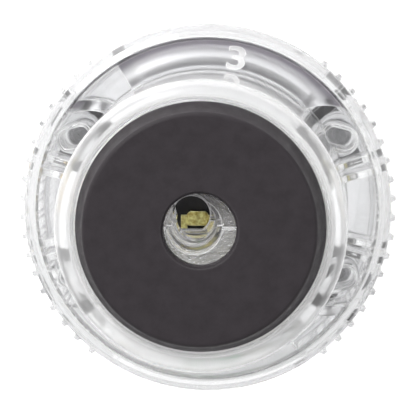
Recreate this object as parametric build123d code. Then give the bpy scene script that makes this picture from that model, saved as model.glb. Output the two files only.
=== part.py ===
from build123d import *
import math
import os

# Lighted cord connector, 15 A 125 V, three poles. Millimetres.
# Z = 0 is the contact face, +Z points to the cord end, +Y is away from the ground pole.

# Main heights along the axis
FACE_THICK = 3.0
JOINT_Z = 16.0
RIM_Z = 33.5
GLAND_TOP_Z = 58.0
GLAND_STANDS_OUT = 3.2
NECK_HEAD = 4.8

# Outer radii, all counted from the insulating block inside
BODY_OUTSET = 7.8
BODY_TAPER = 0.5
FACE_TAPER = 1.2
SHOULDER_W = 5.2
NECK_DRAFT = 0.25
FACE_EDGE_ROUND = 0.4
RIM_ROUND = 0.7
LIP_ROUND = 0.7
SCOOP_ROUND = 2.4
SCOOP_DROP = 0.9
SCOOP_CORE_ROUND = 2.4
SCOOP_CORE_ANGLES = (48.0, 118.0)

# Walls
BODY_WALL = 1.6
WELL_WALL = 1.6
NECK_WALL = 2.0
FLOOR_THICK = 1.6
SHOULDER_WALL = 1.9
LIP_THICK = 0.75
LIP_HEIGHT = 1.8
LIP_CLEAR = 0.15
LIP_HALF_ANGLE = 30.0

# Side wells of the rear housing
WELL_DEPTH = 6.7
SIDE_HALF_ANGLE = 58.0
WEB_THICK = 0.75
WEB_ANGLES = (12.5, 17.5)
FIN_THICK = 1.2
FIN_START_ANGLE = 31.0
FIN_END_ANGLE = 46.5

# Grip ribs on the outside
RIB_STEP = 6.0
RIB_COUNT = 18
RIB_BASE = 0.95
RIB_CREST = 0.5
RIB_HEIGHT = 0.5
RIB_MARGIN = 1.6
RIB_FRONT_START = 6.4

# Long screws that hold the two housings
SCREW_R = 1.3
SCREW_HEAD_R = 1.95
SCREW_HEAD_H = 1.7
SCREW_SINK = 0.9
SCREW_LENGTH = 23.4
SCREW_CLEAR = 0.15
THREAD_CLEAR = 0.05
SCREW_INSET = 3.8
SCREW_ANGLE = 28.0
COLUMN_R = 2.3
BOSS_TURN = -16.0
BOSS_LENGTH = 4.2
BOSS_RIM = 0.4
BOSS_RISE = 0.5
BOSS_RECESS_W = 2.1
BOSS_RECESS_DEPTH = 6.4

# Face openings and the plug pattern
BLADE_Y = 4.0
BLADE_SPACING = 12.7
SLOT_W = 2.0
LINE_SLOT_L = 6.6
NEUTRAL_SLOT_L = 8.1
GROUND_DROP = 11.9
GROUND_HOLE_R = 2.55
ENTRY_CHAMFER = 0.5

# Insulating block that carries the contacts
CARRIER_WALL = 0.7
CARRIER_TOP_Z = 24.5
CARRIER_FLOOR = 2.0
PASSAGE_CLEAR = 0.25
GROUND_PASSAGE_CLEAR = 0.65
POCKET_HALF_W = 2.55
POCKET_HALF_L = 3.6
WINDOW_FLOOR_Z = 15.5
WINDOW_SIDE = 0.5
WINDOW_PAST_RIM = 0.1
LUG_ANGLES = (16.0, 42.0)
LUG_THICK = 1.4
LUG_CLEAR = 0.3
HOLD_RIB_ANGLE = 39.0
HOLD_RIB_W = 1.2
HOLD_RIB_INSET = 1.6
LOCATING_RING_W = 0.8
LOCATING_RING_H = 2.0

# Contact strips and terminals
STRIP = 0.8
LEAF_W = 6.0
LEAF_GAP = 1.3
LEAF_TIP_GAP = 0.3
LEAF_MOUTH = 0.5
TERMINAL_Y = 1.6
TAB_W = 6.0
TAB_H = 8.0
TAB_INSET = 0.4
TAB_CORNER = 1.2
GROUND_TUBE_WALL = 0.65
GROUND_TUBE_GRIP = 0.2
GROUND_TAB_PROUD = 0.2
TERMINAL_SCREW_R = 1.6
TERMINAL_HEAD_R = 2.7
TERMINAL_HEAD_H = 1.8
TERMINAL_SCREW_L = 4.9
PLATE_THICK = 1.0
PLATE_GAP = 1.6
PLATE_W = 5.6
PLATE_H = 6.6

# Arched strap of the ground contact
ARCH_X = -1.33
ARCH_Y = -1.73
ARCH_W = 2.5
ARCH_DEPTH = 1.6
ARCH_RISE = 0.9
ARCH_THICK = 0.5
ARCH_CORNER = 0.75
ARCH_TAB_LINE = 0.6
ARCH_TAB_NEUTRAL = 0.85
ARCH_TAB_STEP = 0.5

# Pilot lamp, its resistor and leads
LAMP_R = 1.95
LAMP_LENGTH = 11.0
LAMP_PINCH = 1.5
LAMP_GAP = 0.1
LAMP_ANGLE = -62.0
LAMP_CUP_WALL = 0.6
LAMP_CUP_H = 3.0
ELECTRODE_R = 0.3
ELECTRODE_L = 5.0
ELECTRODE_GAP = 1.3
RESISTOR_R = 1.15
RESISTOR_L = 6.4
RESISTOR_Z = 5.6
LEAD_R = 0.4
LEAD_BEND = 0.6
LEAD_CLEAR = 0.5

# Gland and cord grips
FIT = 0.15
GLAND_FIT = 0.2
GLAND_FLANGE_W = 0.8
GLAND_FLANGE_H = 3.0
GLAND_SKIN = 2.2
GLAND_RIM_W = 2.4
GLAND_HOLE_R = 3.7
GLAND_EDGE_IN = 1.0
GLAND_EDGE_DROP = 3.5
GLAND_EDGE_ROUND = 0.4
JAW_SEAT_Z = 36.0
JAW_SEAT_W = 1.2
JAW_GAP = 0.16
JAW_STEPS = (
    (2.8, 3.2, -0.6, 0.15),
    (2.3, 3.4, -0.75, 0.12),
    (2.05, 3.2, -0.7, 0.12),
    (1.94, 1.4, -1.24, 0.53),
)
JAW_FLARE_R = 3.2
JAW_CHANNEL_X = -1.0
JAW_CHANNEL_Y = 1.55
TONGUE_Y = -1.08
TONGUE_THICK = 0.5
TONGUE_SLOT = 0.6

# Sizes that follow from those above
CARRIER_R = math.hypot(BLADE_SPACING / 2 + POCKET_HALF_W, BLADE_Y + POCKET_HALF_L) + CARRIER_WALL
WIDE_R = CARRIER_R + BODY_OUTSET
JOINT_R = WIDE_R - BODY_TAPER
FACE_R = WIDE_R - FACE_TAPER
NECK_TOP_Z = GLAND_TOP_Z - GLAND_STANDS_OUT
GLAND_SEAT_Z = NECK_TOP_Z - NECK_HEAD
LEDGE_Z = RIM_Z - SCOOP_DROP
NECK_R = WIDE_R - SHOULDER_W
NECK_BASE_R = NECK_R + NECK_DRAFT
BORE_R = NECK_R - NECK_WALL
JAW_R = BORE_R - FIT
JAW_SEAT_R = BORE_R - JAW_SEAT_W
GLAND_R = BORE_R - GLAND_FIT
GLAND_FLANGE_R = GLAND_R + GLAND_FLANGE_W
GLAND_CUP_R = GLAND_R - GLAND_RIM_W
WELL_OUT_R = WIDE_R - WELL_WALL
WELL_FLOOR_Z = RIM_Z - WELL_DEPTH
CAVITY_TOP_Z = WELL_FLOOR_Z - FLOOR_THICK
CAVITY_R = JOINT_R - BODY_WALL
CARRIER_Z = FACE_THICK
POCKET_FLOOR_Z = CARRIER_Z + CARRIER_FLOOR
BOSS_WIDTH = BOSS_RECESS_W + 2 * BOSS_RIM
TAB_OUT = CARRIER_R - TAB_INSET
GROUND_TAB_OUT = CARRIER_R + GROUND_TAB_PROUD
GROUND_Y = BLADE_Y - GROUND_DROP
TERMINAL_Z = WINDOW_FLOOR_Z + STRIP + TAB_H / 2
LAMP_CIRCLE_R = CARRIER_R + LAMP_R + LAMP_GAP
LAMP_X = LAMP_CIRCLE_R * math.cos(math.radians(LAMP_ANGLE))
LAMP_Y = LAMP_CIRCLE_R * math.sin(math.radians(LAMP_ANGLE))
LAMP_TOP_Z = FACE_THICK + LAMP_LENGTH + LAMP_PINCH
LEAD_RUN_R = CARRIER_R + LEAD_R + LEAD_CLEAR
LEAD_RUN_Z = WINDOW_FLOOR_Z + STRIP + LEAD_R
SCREW_CIRCLE_R = WIDE_R - SCREW_INSET
SCREW_SPOTS = [
    (sx * SCREW_CIRCLE_R * math.cos(math.radians(SCREW_ANGLE)),
     sy * SCREW_CIRCLE_R * math.sin(math.radians(SCREW_ANGLE)))
    for sx in (1, -1) for sy in (1, -1)
]


# Shared helpers
def turned(edges):
    return revolve(make_face(Plane.XZ * edges), Axis.Z)


def turned_points(points):
    return turned(Polyline(*points, close=True))


def round_bar(radius, z0, z1, x=0.0, y=0.0):
    return Pos(x, y, (z0 + z1) / 2) * Cylinder(radius, z1 - z0)


def block(x0, x1, y0, y1, z0, z1):
    return Pos((x0 + x1) / 2, (y0 + y1) / 2, (z0 + z1) / 2) * Box(x1 - x0, y1 - y0, z1 - z0)


def ring(outer, inner, z0, z1):
    return round_bar(outer, z0, z1) - round_bar(inner, z0 - 1, z1 + 1)


def polar(radius, angle):
    return (radius * math.cos(math.radians(angle)), radius * math.sin(math.radians(angle)))


def wedge(a0, a1, z0, z1):
    reach = 2.0 * WIDE_R
    steps = 6
    points = [(0.0, 0.0)]
    for i in range(steps + 1):
        points.append(polar(reach, a0 + (a1 - a0) * i / steps))
    return Pos(0, 0, z0) * extrude(make_face(Polyline(*points, close=True)), z1 - z0)


def two_scoops(half_angle, z0, z1):
    return wedge(90 - half_angle, 90 + half_angle, z0, z1) + wedge(270 - half_angle, 270 + half_angle, z0, z1)


def tapered_cut(width, length, x, y):
    wide = Plane.XY.offset(0) * Pos(x, y) * Rectangle(width + 2 * ENTRY_CHAMFER, length + 2 * ENTRY_CHAMFER)
    narrow = Plane.XY.offset(ENTRY_CHAMFER) * Pos(x, y) * Rectangle(width, length)
    return loft([wide, narrow])


# Round wire along straight runs joined by tangent arcs
def tube(points, radius, bend):
    spots = [Vector(*p) for p in points]
    runs = []
    last = spots[0]
    for before, corner, after in zip(spots, spots[1:], spots[2:]):
        back = (before - corner).normalized()
        ahead = (after - corner).normalized()
        half = back.get_angle(ahead) / 2
        reach = bend / math.tan(math.radians(half))
        middle_way = (back + ahead).normalized()
        centre = corner + middle_way * (bend / math.sin(math.radians(half)))
        start = corner + back * reach
        end = corner + ahead * reach
        runs.append(Line(last, start))
        runs.append(ThreePointArc(start, centre - middle_way * bend, end))
        last = end
    runs.append(Line(last, spots[-1]))
    path = Wire([run.edge() for run in runs])
    start = Plane(origin=path @ 0, z_dir=path % 0)
    return sweep(start * Circle(radius), path=path)


# Grip ribs of one housing, on both sides
def grip_ribs(z0, z1, r0, r1):
    section_low = Plane.XY.offset(z0) * rib_section(r0)
    section_high = Plane.XY.offset(z1) * rib_section(r1)
    rib = loft([section_low, section_high])
    crown = loft([section_high, Plane.XY.offset(z1 + RIB_HEIGHT) * rib_section(r1 - RIB_HEIGHT)])
    foot = loft([Plane.XY.offset(z0 - RIB_HEIGHT) * rib_section(r0 - RIB_HEIGHT), section_low])
    one = foot + rib + crown
    first = -RIB_STEP * (RIB_COUNT - 1) / 2
    ribs = []
    for side in (0.0, 180.0):
        for i in range(RIB_COUNT):
            ribs.append(Rot(0, 0, side + first + RIB_STEP * i) * one)
    return ribs


def rib_section(radius):
    root = radius - RIB_HEIGHT
    crest = radius + RIB_HEIGHT
    points = [
        (root, -RIB_BASE / 2),
        (radius, -RIB_BASE / 2),
        (crest, -RIB_CREST / 2),
        (crest, RIB_CREST / 2),
        (radius, RIB_BASE / 2),
        (root, RIB_BASE / 2),
    ]
    return make_face(Polyline(*points, close=True))


# Rear housing: outside shape, bore, scoops, side wells
def rear_outline():
    rim_in = (WELL_OUT_R + 0.2, RIM_Z + 0.3)
    foot = NECK_BASE_R + SCOOP_ROUND
    edges = Polyline(
        (0, JOINT_Z), (JOINT_R, JOINT_Z), (WIDE_R, RIM_Z - RIM_ROUND - 0.5),
        (WIDE_R - 0.15, RIM_Z - RIM_ROUND + 0.2), (WIDE_R - RIM_ROUND, RIM_Z), rim_in,
        (WELL_OUT_R, RIM_Z - 0.1), (WELL_OUT_R - 0.15, LEDGE_Z), (foot, LEDGE_Z))
    edges += ThreePointArc(
        (foot, LEDGE_Z), (NECK_BASE_R + 0.293 * SCOOP_ROUND, LEDGE_Z + 0.293 * SCOOP_ROUND),
        (NECK_BASE_R, LEDGE_Z + SCOOP_ROUND))
    edges += Line((NECK_BASE_R, LEDGE_Z + SCOOP_ROUND), (NECK_R, NECK_TOP_Z - LIP_ROUND))
    edges += ThreePointArc(
        (NECK_R, NECK_TOP_Z - LIP_ROUND), (NECK_R - 0.293 * LIP_ROUND, NECK_TOP_Z - 0.293 * LIP_ROUND),
        (NECK_R - LIP_ROUND, NECK_TOP_Z))
    edges += Polyline((NECK_R - LIP_ROUND, NECK_TOP_Z), (0, NECK_TOP_Z), (0, JOINT_Z))
    return turned(edges)


def rear_bore():
    step_z = GLAND_SEAT_Z + GLAND_FLANGE_H + 0.1
    mouth = 0.35
    return turned_points([
        (0, JOINT_Z - 1), (CAVITY_R, JOINT_Z - 1), (CAVITY_R, CAVITY_TOP_Z), (JAW_SEAT_R, CAVITY_TOP_Z),
        (JAW_SEAT_R, JAW_SEAT_Z), (BORE_R, JAW_SEAT_Z), (BORE_R, GLAND_SEAT_Z),
        (GLAND_FLANGE_R + FIT, GLAND_SEAT_Z), (GLAND_FLANGE_R + FIT, step_z), (BORE_R, step_z),
        (BORE_R, NECK_TOP_Z - mouth), (BORE_R + mouth, NECK_TOP_Z), (BORE_R + mouth, NECK_TOP_Z + 1),
        (0, NECK_TOP_Z + 1)])


def scoop_core():
    low = CAVITY_TOP_Z - 0.5
    reach = CAVITY_R + 0.05
    inner = JAW_SEAT_R - 0.1
    top = LEDGE_Z - SHOULDER_WALL
    bend = NECK_BASE_R - SHOULDER_WALL
    size = SCOOP_CORE_ROUND
    edges = Polyline((inner, low), (reach, low), (reach, top - size))
    edges += ThreePointArc((reach, top - size), (reach - 0.293 * size, top - 0.293 * size), (reach - size, top))
    edges += Polyline((reach - size, top), (bend + 1.2, top), (bend, top + 2.4), (inner, top + 2.4), (inner, low))
    first = turned(edges) & wedge(*SCOOP_CORE_ANGLES, low - 1, NECK_TOP_Z)
    return [first, Rot(0, 0, 180) * first]


def fin_spots():
    stations = ((WIDE_R + 0.4, 0.0), (WELL_OUT_R + 0.3, 0.28), (WELL_OUT_R - 1.3, 0.62), (NECK_R - 0.4, 1.0))
    span = FIN_END_ANGLE - FIN_START_ANGLE
    return [polar(radius, FIN_START_ANGLE + span * share) for radius, share in stations]


def beyond_fin(z0, z1):
    spots = fin_spots()
    inner = polar(NECK_R - 2, SIDE_HALF_ANGLE + 8)
    outer = polar(2 * WIDE_R, SIDE_HALF_ANGLE + 8)
    edges = Spline(*spots) + Line(spots[-1], inner) + Line(inner, outer) + Line(outer, spots[0])
    return Pos(0, 0, z0) * extrude(make_face(edges), z1 - z0)


def fin_wall(z0, z1):
    spots = fin_spots()
    outer = []
    inner = []
    for i, spot in enumerate(spots):
        before = spots[max(i - 1, 0)]
        after = spots[min(i + 1, len(spots) - 1)]
        run = (after[0] - before[0], after[1] - before[1])
        size = math.hypot(run[0], run[1])
        side = (-run[1] / size * FIN_THICK / 2, run[0] / size * FIN_THICK / 2)
        outer.append((spot[0] + side[0], spot[1] + side[1]))
        inner.append((spot[0] - side[0], spot[1] - side[1]))
    edges = Spline(*outer) + Line(outer[-1], inner[-1]) + Spline(*inner[::-1]) + Line(inner[0], outer[0])
    return Pos(0, 0, z0) * extrude(make_face(edges), z1 - z0)


def boss_shape(length, width, z0, z1):
    corner = 0.48 * min(length, width)
    x, y = SCREW_SPOTS[0]
    flat = Pos(x, y) * Rot(0, 0, BOSS_TURN) * RectangleRounded(length, width, corner)
    return Pos(0, 0, z0) * extrude(flat, z1 - z0)


def quarter_well(open_end):
    top = RIM_Z + 2 * SCOOP_ROUND
    low = WELL_FLOOR_Z
    draft = 0.15
    space = turned_points([
        (NECK_BASE_R + draft, low), (WELL_OUT_R - draft, low), (WELL_OUT_R, top), (NECK_BASE_R + 0.01, top)])
    space &= wedge(0, SIDE_HALF_ANGLE, low - 1, top + 1)
    for angle in WEB_ANGLES:
        web = Rot(0, 0, angle) * block(NECK_R - 1, WIDE_R, -WEB_THICK / 2, WEB_THICK / 2, low - 1, top + 1)
        space -= web
    if open_end:
        space -= fin_wall(low - 1, top + 1)
    else:
        space -= beyond_fin(low - 1, top + 1)
    boss_top = RIM_Z + BOSS_RISE
    space -= boss_shape(BOSS_LENGTH, BOSS_WIDTH, low - 1, boss_top)
    space += boss_shape(BOSS_LENGTH - 2 * BOSS_RIM, BOSS_RECESS_W, boss_top - BOSS_RECESS_DEPTH, top)
    return space


def side_wells():
    closed = quarter_well(False)
    opened = quarter_well(True)
    return [closed, Rot(0, 0, 180) * closed, mirror(opened, Plane.YZ), mirror(opened, Plane.XZ)]


# Both halves, left and right, of a place given by its angle from +X
def four_angles(angle):
    return (angle, 180.0 - angle, 180.0 + angle, 360.0 - angle)


def hold_down_ribs():
    half = HOLD_RIB_W / 2
    rib = block(CARRIER_R + HOLD_RIB_INSET, CAVITY_R + 0.5, -half, half, CARRIER_TOP_Z, CAVITY_TOP_Z + 0.5)
    return [Rot(0, 0, angle) * rib for angle in four_angles(HOLD_RIB_ANGLE)]


def make_rear_housing():
    shape = rear_outline()
    shape -= rear_bore()
    for hollow in scoop_core() + side_wells():
        shape -= hollow
    for x, y in SCREW_SPOTS:
        shape += round_bar(COLUMN_R, JOINT_Z, WELL_FLOOR_Z, x, y)
    shape += hold_down_ribs()
    screw_end = SCREW_SINK + SCREW_HEAD_H + SCREW_LENGTH
    for x, y in SCREW_SPOTS:
        shape -= round_bar(SCREW_R + THREAD_CLEAR, JOINT_Z - 1, screw_end + 0.4, x, y)
    rabbet_r = CAVITY_R + LIP_THICK + LIP_CLEAR
    rabbet = ring(rabbet_r, CAVITY_R - 0.5, JOINT_Z - 1, JOINT_Z + LIP_HEIGHT + LIP_CLEAR)
    shape -= rabbet & two_scoops(LIP_HALF_ANGLE + 2, JOINT_Z - 2, JOINT_Z + LIP_HEIGHT + 1)
    shape += grip_ribs(JOINT_Z + RIB_MARGIN, RIM_Z - RIB_MARGIN, JOINT_R + 0.04, WIDE_R - 0.02)
    return shape


# Front body: shell, face openings, screw columns, seats
def front_shell():
    edge = FACE_EDGE_ROUND
    edges = Line((0, 0), (FACE_R - edge, 0))
    edges += ThreePointArc((FACE_R - edge, 0), (FACE_R - 0.29 * edge, 0.29 * edge), (FACE_R, edge))
    edges += Polyline(
        (FACE_R, edge), (JOINT_R, JOINT_Z), (CAVITY_R, JOINT_Z), (FACE_R - BODY_WALL, FACE_THICK),
        (0, FACE_THICK), (0, 0))
    return turned(edges)


def face_openings():
    line_x = -BLADE_SPACING / 2
    neutral_x = BLADE_SPACING / 2
    deep = FACE_THICK + 1
    cuts = [
        block(line_x - SLOT_W / 2, line_x + SLOT_W / 2, BLADE_Y - LINE_SLOT_L / 2, BLADE_Y + LINE_SLOT_L / 2, -1, deep),
        block(neutral_x - SLOT_W / 2, neutral_x + SLOT_W / 2,
              BLADE_Y - NEUTRAL_SLOT_L / 2, BLADE_Y + NEUTRAL_SLOT_L / 2, -1, deep),
        round_bar(GROUND_HOLE_R, -1, deep, 0, GROUND_Y),
        tapered_cut(SLOT_W, LINE_SLOT_L, line_x, BLADE_Y),
        tapered_cut(SLOT_W, NEUTRAL_SLOT_L, neutral_x, BLADE_Y),
        Pos(0, GROUND_Y, ENTRY_CHAMFER / 2) * Cone(GROUND_HOLE_R + ENTRY_CHAMFER, GROUND_HOLE_R, ENTRY_CHAMFER),
    ]
    return cuts


def make_front_body():
    shape = front_shell()
    for x, y in SCREW_SPOTS:
        shape += round_bar(COLUMN_R, FACE_THICK - 0.5, JOINT_Z, x, y)
    shape += ring(CARRIER_R + LOCATING_RING_W, CARRIER_R, FACE_THICK - 0.5, FACE_THICK + LOCATING_RING_H)
    cup_r = LAMP_R + FIT
    shape += round_bar(cup_r + LAMP_CUP_WALL, FACE_THICK - 0.5, FACE_THICK + LAMP_CUP_H, LAMP_X, LAMP_Y)
    shape -= round_bar(cup_r, FACE_THICK, JOINT_Z, LAMP_X, LAMP_Y)
    shape -= round_bar(CARRIER_R + FIT, FACE_THICK, JOINT_Z)
    lip = ring(CAVITY_R + LIP_THICK, CAVITY_R - 0.05, JOINT_Z - 0.5, JOINT_Z + LIP_HEIGHT)
    shape += lip & two_scoops(LIP_HALF_ANGLE, JOINT_Z - 1, JOINT_Z + LIP_HEIGHT + 1)
    for x, y in SCREW_SPOTS:
        shape -= round_bar(SCREW_R + SCREW_CLEAR, -1, JOINT_Z + 1, x, y)
        shape -= round_bar(SCREW_HEAD_R + SCREW_CLEAR, -1, SCREW_SINK + SCREW_HEAD_H, x, y)
    for cut in face_openings():
        shape -= cut
    slope = (JOINT_R - FACE_R) / (JOINT_Z - FACE_EDGE_ROUND)
    low_r = FACE_R + slope * (RIB_FRONT_START - FACE_EDGE_ROUND)
    high_r = JOINT_R - slope * RIB_MARGIN
    shape += grip_ribs(RIB_FRONT_START, JOINT_Z - RIB_MARGIN, low_r, high_r)
    return shape


# Insulating block with its pockets
def make_contact_carrier():
    shape = round_bar(CARRIER_R, CARRIER_Z, CARRIER_TOP_Z)
    lug_low = CARRIER_TOP_Z - LUG_THICK
    flange = ring(CAVITY_R - LUG_CLEAR, CARRIER_R - 1, lug_low, CARRIER_TOP_Z)
    first, last = LUG_ANGLES
    for turn in (0.0, 180.0):
        shape += Rot(0, 0, turn) * (flange & wedge(first, last, lug_low - 1, CARRIER_TOP_Z + 1))
        shape += Rot(0, 0, turn) * (flange & wedge(-last, -first, lug_low - 1, CARRIER_TOP_Z + 1))
    for x, y in SCREW_SPOTS:
        shape -= round_bar(COLUMN_R + LUG_CLEAR, lug_low - 1, CARRIER_TOP_Z + 1, x, y)
    for side in (1, -1):
        x = side * BLADE_SPACING / 2
        length = NEUTRAL_SLOT_L if side > 0 else LINE_SLOT_L
        half_w = SLOT_W / 2 + PASSAGE_CLEAR
        half_l = length / 2 + PASSAGE_CLEAR
        shape -= block(x - half_w, x + half_w, BLADE_Y - half_l, BLADE_Y + half_l, CARRIER_Z - 1, POCKET_FLOOR_Z + 1)
        shape -= block(x - POCKET_HALF_W, x + POCKET_HALF_W, BLADE_Y - POCKET_HALF_L, BLADE_Y + POCKET_HALF_L,
                       POCKET_FLOOR_Z, CARRIER_TOP_Z + 1)
        screw_reach = TAB_OUT - TERMINAL_SCREW_L - WINDOW_SIDE / 2
        pocket_edge = BLADE_SPACING / 2 + POCKET_HALF_W - 0.1
        window = sorted((side * (CARRIER_R + WINDOW_PAST_RIM), side * min(screw_reach, pocket_edge)))
        shape -= block(window[0], window[1], TERMINAL_Y - TAB_W / 2 - WINDOW_SIDE,
                       TERMINAL_Y + TAB_W / 2 + WINDOW_SIDE, WINDOW_FLOOR_Z, CARRIER_TOP_Z + 1)
    passage_r = GROUND_HOLE_R + GROUND_PASSAGE_CLEAR
    shape -= round_bar(passage_r, CARRIER_Z - 1, POCKET_FLOOR_Z + 1, 0, GROUND_Y)
    tube_r = GROUND_HOLE_R + GROUND_TUBE_WALL + 0.3
    shape -= block(-tube_r, tube_r, GROUND_Y - tube_r, GROUND_Y + tube_r + STRIP, POCKET_FLOOR_Z, CARRIER_TOP_Z + 1)
    shape -= block(-TAB_W / 2 - WINDOW_SIDE, TAB_W / 2 + WINDOW_SIDE, -CARRIER_R - 1, GROUND_Y,
                   WINDOW_FLOOR_Z, CARRIER_TOP_Z + 1)
    return shape


# Power contact: fork for the blade, base strip, terminal tab
def leaf(side):
    inner = LEAF_GAP / 2
    low = POCKET_FLOOR_Z + 0.3
    points = [
        (inner, WINDOW_FLOOR_Z + STRIP), (inner, low + 4), (LEAF_TIP_GAP, low + 2.2), (inner + LEAF_MOUTH, low),
        (inner + LEAF_MOUTH + STRIP, low), (LEAF_TIP_GAP + STRIP, low + 2.4), (inner + STRIP, low + 4.2),
        (inner + STRIP, WINDOW_FLOOR_Z + STRIP)]
    flat = Plane.XZ * Polyline(*[(side * x, z) for x, z in points], close=True)
    return Pos(0, BLADE_Y + LEAF_W / 2, 0) * extrude(make_face(flat), LEAF_W, dir=(0, -1, 0))


def make_power_contact(side):
    x = BLADE_SPACING / 2
    fork = Pos(x, 0, 0) * (leaf(1) + leaf(-1))
    edge = LEAF_GAP / 2 + STRIP
    base_low = BLADE_Y - LEAF_W / 2
    base = block(x - edge, x + edge, base_low, BLADE_Y + LEAF_W / 2, WINDOW_FLOOR_Z, WINDOW_FLOOR_Z + STRIP)
    tab_y0 = TERMINAL_Y - TAB_W / 2
    tab_y1 = TERMINAL_Y + TAB_W / 2
    run = block(x + edge - 0.5, TAB_OUT, tab_y0, tab_y1, WINDOW_FLOOR_Z, WINDOW_FLOOR_Z + STRIP)
    tab = block(TAB_OUT - STRIP, TAB_OUT, tab_y0, tab_y1, WINDOW_FLOOR_Z, WINDOW_FLOOR_Z + TAB_H)
    hole = Pos(TAB_OUT, TERMINAL_Y, TERMINAL_Z) * Rot(0, 90, 0) * Cylinder(TERMINAL_SCREW_R + THREAD_CLEAR, 4)
    shape = fork + base + run + tab - hole
    corners = shape.edges().filter_by(Axis.X).filter_by_position(Axis.Z, WINDOW_FLOOR_Z + TAB_H - 0.01,
                                                                WINDOW_FLOOR_Z + TAB_H + 0.01)
    shape = fillet(corners, TAB_CORNER)
    return shape if side > 0 else mirror(shape, Plane.YZ)


# Ground contact: sleeve for the round pin, terminal tab, strap with an arch
def make_ground_contact():
    inner = GROUND_HOLE_R - GROUND_TUBE_GRIP
    outer = inner + GROUND_TUBE_WALL
    low = POCKET_FLOOR_Z + 0.3
    sleeve = round_bar(outer, low, WINDOW_FLOOR_Z, 0, GROUND_Y) - round_bar(inner, low - 1, WINDOW_FLOOR_Z, 0, GROUND_Y)
    sleeve -= block(-0.4, 0.4, GROUND_Y - outer - 1, GROUND_Y, low - 1, WINDOW_FLOOR_Z - 2.5)
    sleeve -= block(-outer - 1, outer + 1, GROUND_Y - 0.4, GROUND_Y + 0.4, low - 1, WINDOW_FLOOR_Z - 2.5)
    back = GROUND_Y + outer + STRIP
    plate = block(-TAB_W / 2, TAB_W / 2, -GROUND_TAB_OUT, back, WINDOW_FLOOR_Z, WINDOW_FLOOR_Z + STRIP)
    tab = block(-TAB_W / 2, TAB_W / 2, -GROUND_TAB_OUT, -GROUND_TAB_OUT + STRIP, WINDOW_FLOOR_Z, WINDOW_FLOOR_Z + TAB_H)
    hole = Pos(0, -GROUND_TAB_OUT, TERMINAL_Z) * Rot(90, 0, 0) * Cylinder(TERMINAL_SCREW_R + THREAD_CLEAR, 4)
    low_x = ARCH_X - ARCH_W / 2 - ARCH_TAB_LINE
    high_x = ARCH_X + ARCH_W / 2 + ARCH_TAB_NEUTRAL
    riser = block(low_x, high_x, back - STRIP, back, WINDOW_FLOOR_Z, CARRIER_TOP_Z + STRIP)
    shape = sleeve + plate + tab - hole + riser
    corners = shape.edges().filter_by(Axis.Y).filter_by_position(Axis.Z, WINDOW_FLOOR_Z + TAB_H - 0.01,
                                                                WINDOW_FLOOR_Z + TAB_H + 0.01)
    shape = fillet(corners, TAB_CORNER)
    leg_end = ARCH_Y + ARCH_DEPTH / 2 - ARCH_TAB_STEP
    for x0, x1 in ((low_x, low_x + ARCH_TAB_LINE + 0.1), (high_x - ARCH_TAB_NEUTRAL - 0.1, high_x)):
        shape += block(x0, x1, back - STRIP, leg_end, CARRIER_TOP_Z, CARRIER_TOP_Z + STRIP)
    return shape + arch_strap()


def arch_strap():
    half = ARCH_W / 2
    base = CARRIER_TOP_Z
    top = base + STRIP
    inner = half - ARCH_THICK
    edges = Polyline((-inner, base), (-half, base), (-half, top))
    edges += ThreePointArc((-half, top), (0, top + ARCH_RISE), (half, top))
    edges += Polyline((half, top), (half, base), (inner, base))
    edges += ThreePointArc((inner, base), (0, top + ARCH_RISE - ARCH_THICK), (-inner, base))
    flat = Pos(ARCH_X, ARCH_Y + ARCH_DEPTH / 2, 0) * (Plane.XZ * edges)
    strap = extrude(make_face(flat), ARCH_DEPTH, dir=(0, -1, 0))
    outline = Pos(ARCH_X, ARCH_Y) * Rectangle(ARCH_W, ARCH_DEPTH)
    outline = fillet(outline.vertices().group_by(Axis.Y)[-1], ARCH_CORNER)
    return strap & Pos(0, 0, base - 1) * extrude(outline, STRIP + ARCH_RISE + 2)


# Pressure plate and screw of one terminal, built on the +X side
def terminal_plate():
    x1 = TAB_OUT - STRIP - PLATE_GAP
    low = WINDOW_FLOOR_Z + STRIP
    plate = block(x1 - PLATE_THICK, x1, TERMINAL_Y - PLATE_W / 2, TERMINAL_Y + PLATE_W / 2, low, low + PLATE_H)
    for i in (-1, 0, 1):
        groove = block(x1 - 0.25, x1 + 1, TERMINAL_Y - PLATE_W, TERMINAL_Y + PLATE_W,
                       TERMINAL_Z + 2.3 * i - 0.25, TERMINAL_Z + 2.3 * i + 0.25)
        plate -= groove
    hole = Pos(x1, TERMINAL_Y, TERMINAL_Z) * Rot(0, 90, 0) * Cylinder(TERMINAL_SCREW_R + THREAD_CLEAR, 6)
    return plate - hole


def terminal_screw():
    shank = Cylinder(TERMINAL_SCREW_R, TERMINAL_SCREW_L, align=(Align.CENTER, Align.CENTER, Align.MAX))
    head = Cylinder(TERMINAL_HEAD_R, TERMINAL_HEAD_H, align=(Align.CENTER, Align.CENTER, Align.MIN))
    rim = head.edges().filter_by(GeomType.CIRCLE).sort_by(Axis.Z)[-1]
    head = fillet(rim, 0.6)
    slot = block(-TERMINAL_HEAD_R, TERMINAL_HEAD_R, -0.4, 0.4, TERMINAL_HEAD_H - 0.8, TERMINAL_HEAD_H + 1)
    cross = block(-0.4, 0.4, -1.5, 1.5, TERMINAL_HEAD_H - 0.8, TERMINAL_HEAD_H + 1)
    screw = head + shank - slot - cross
    return Pos(TAB_OUT, TERMINAL_Y, TERMINAL_Z) * Rot(0, 90, 0) * screw


def to_ground(shape):
    shift = GROUND_TAB_OUT - TAB_OUT
    return Rot(0, 0, -90) * Pos(shift, -TERMINAL_Y, 0) * shape


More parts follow.
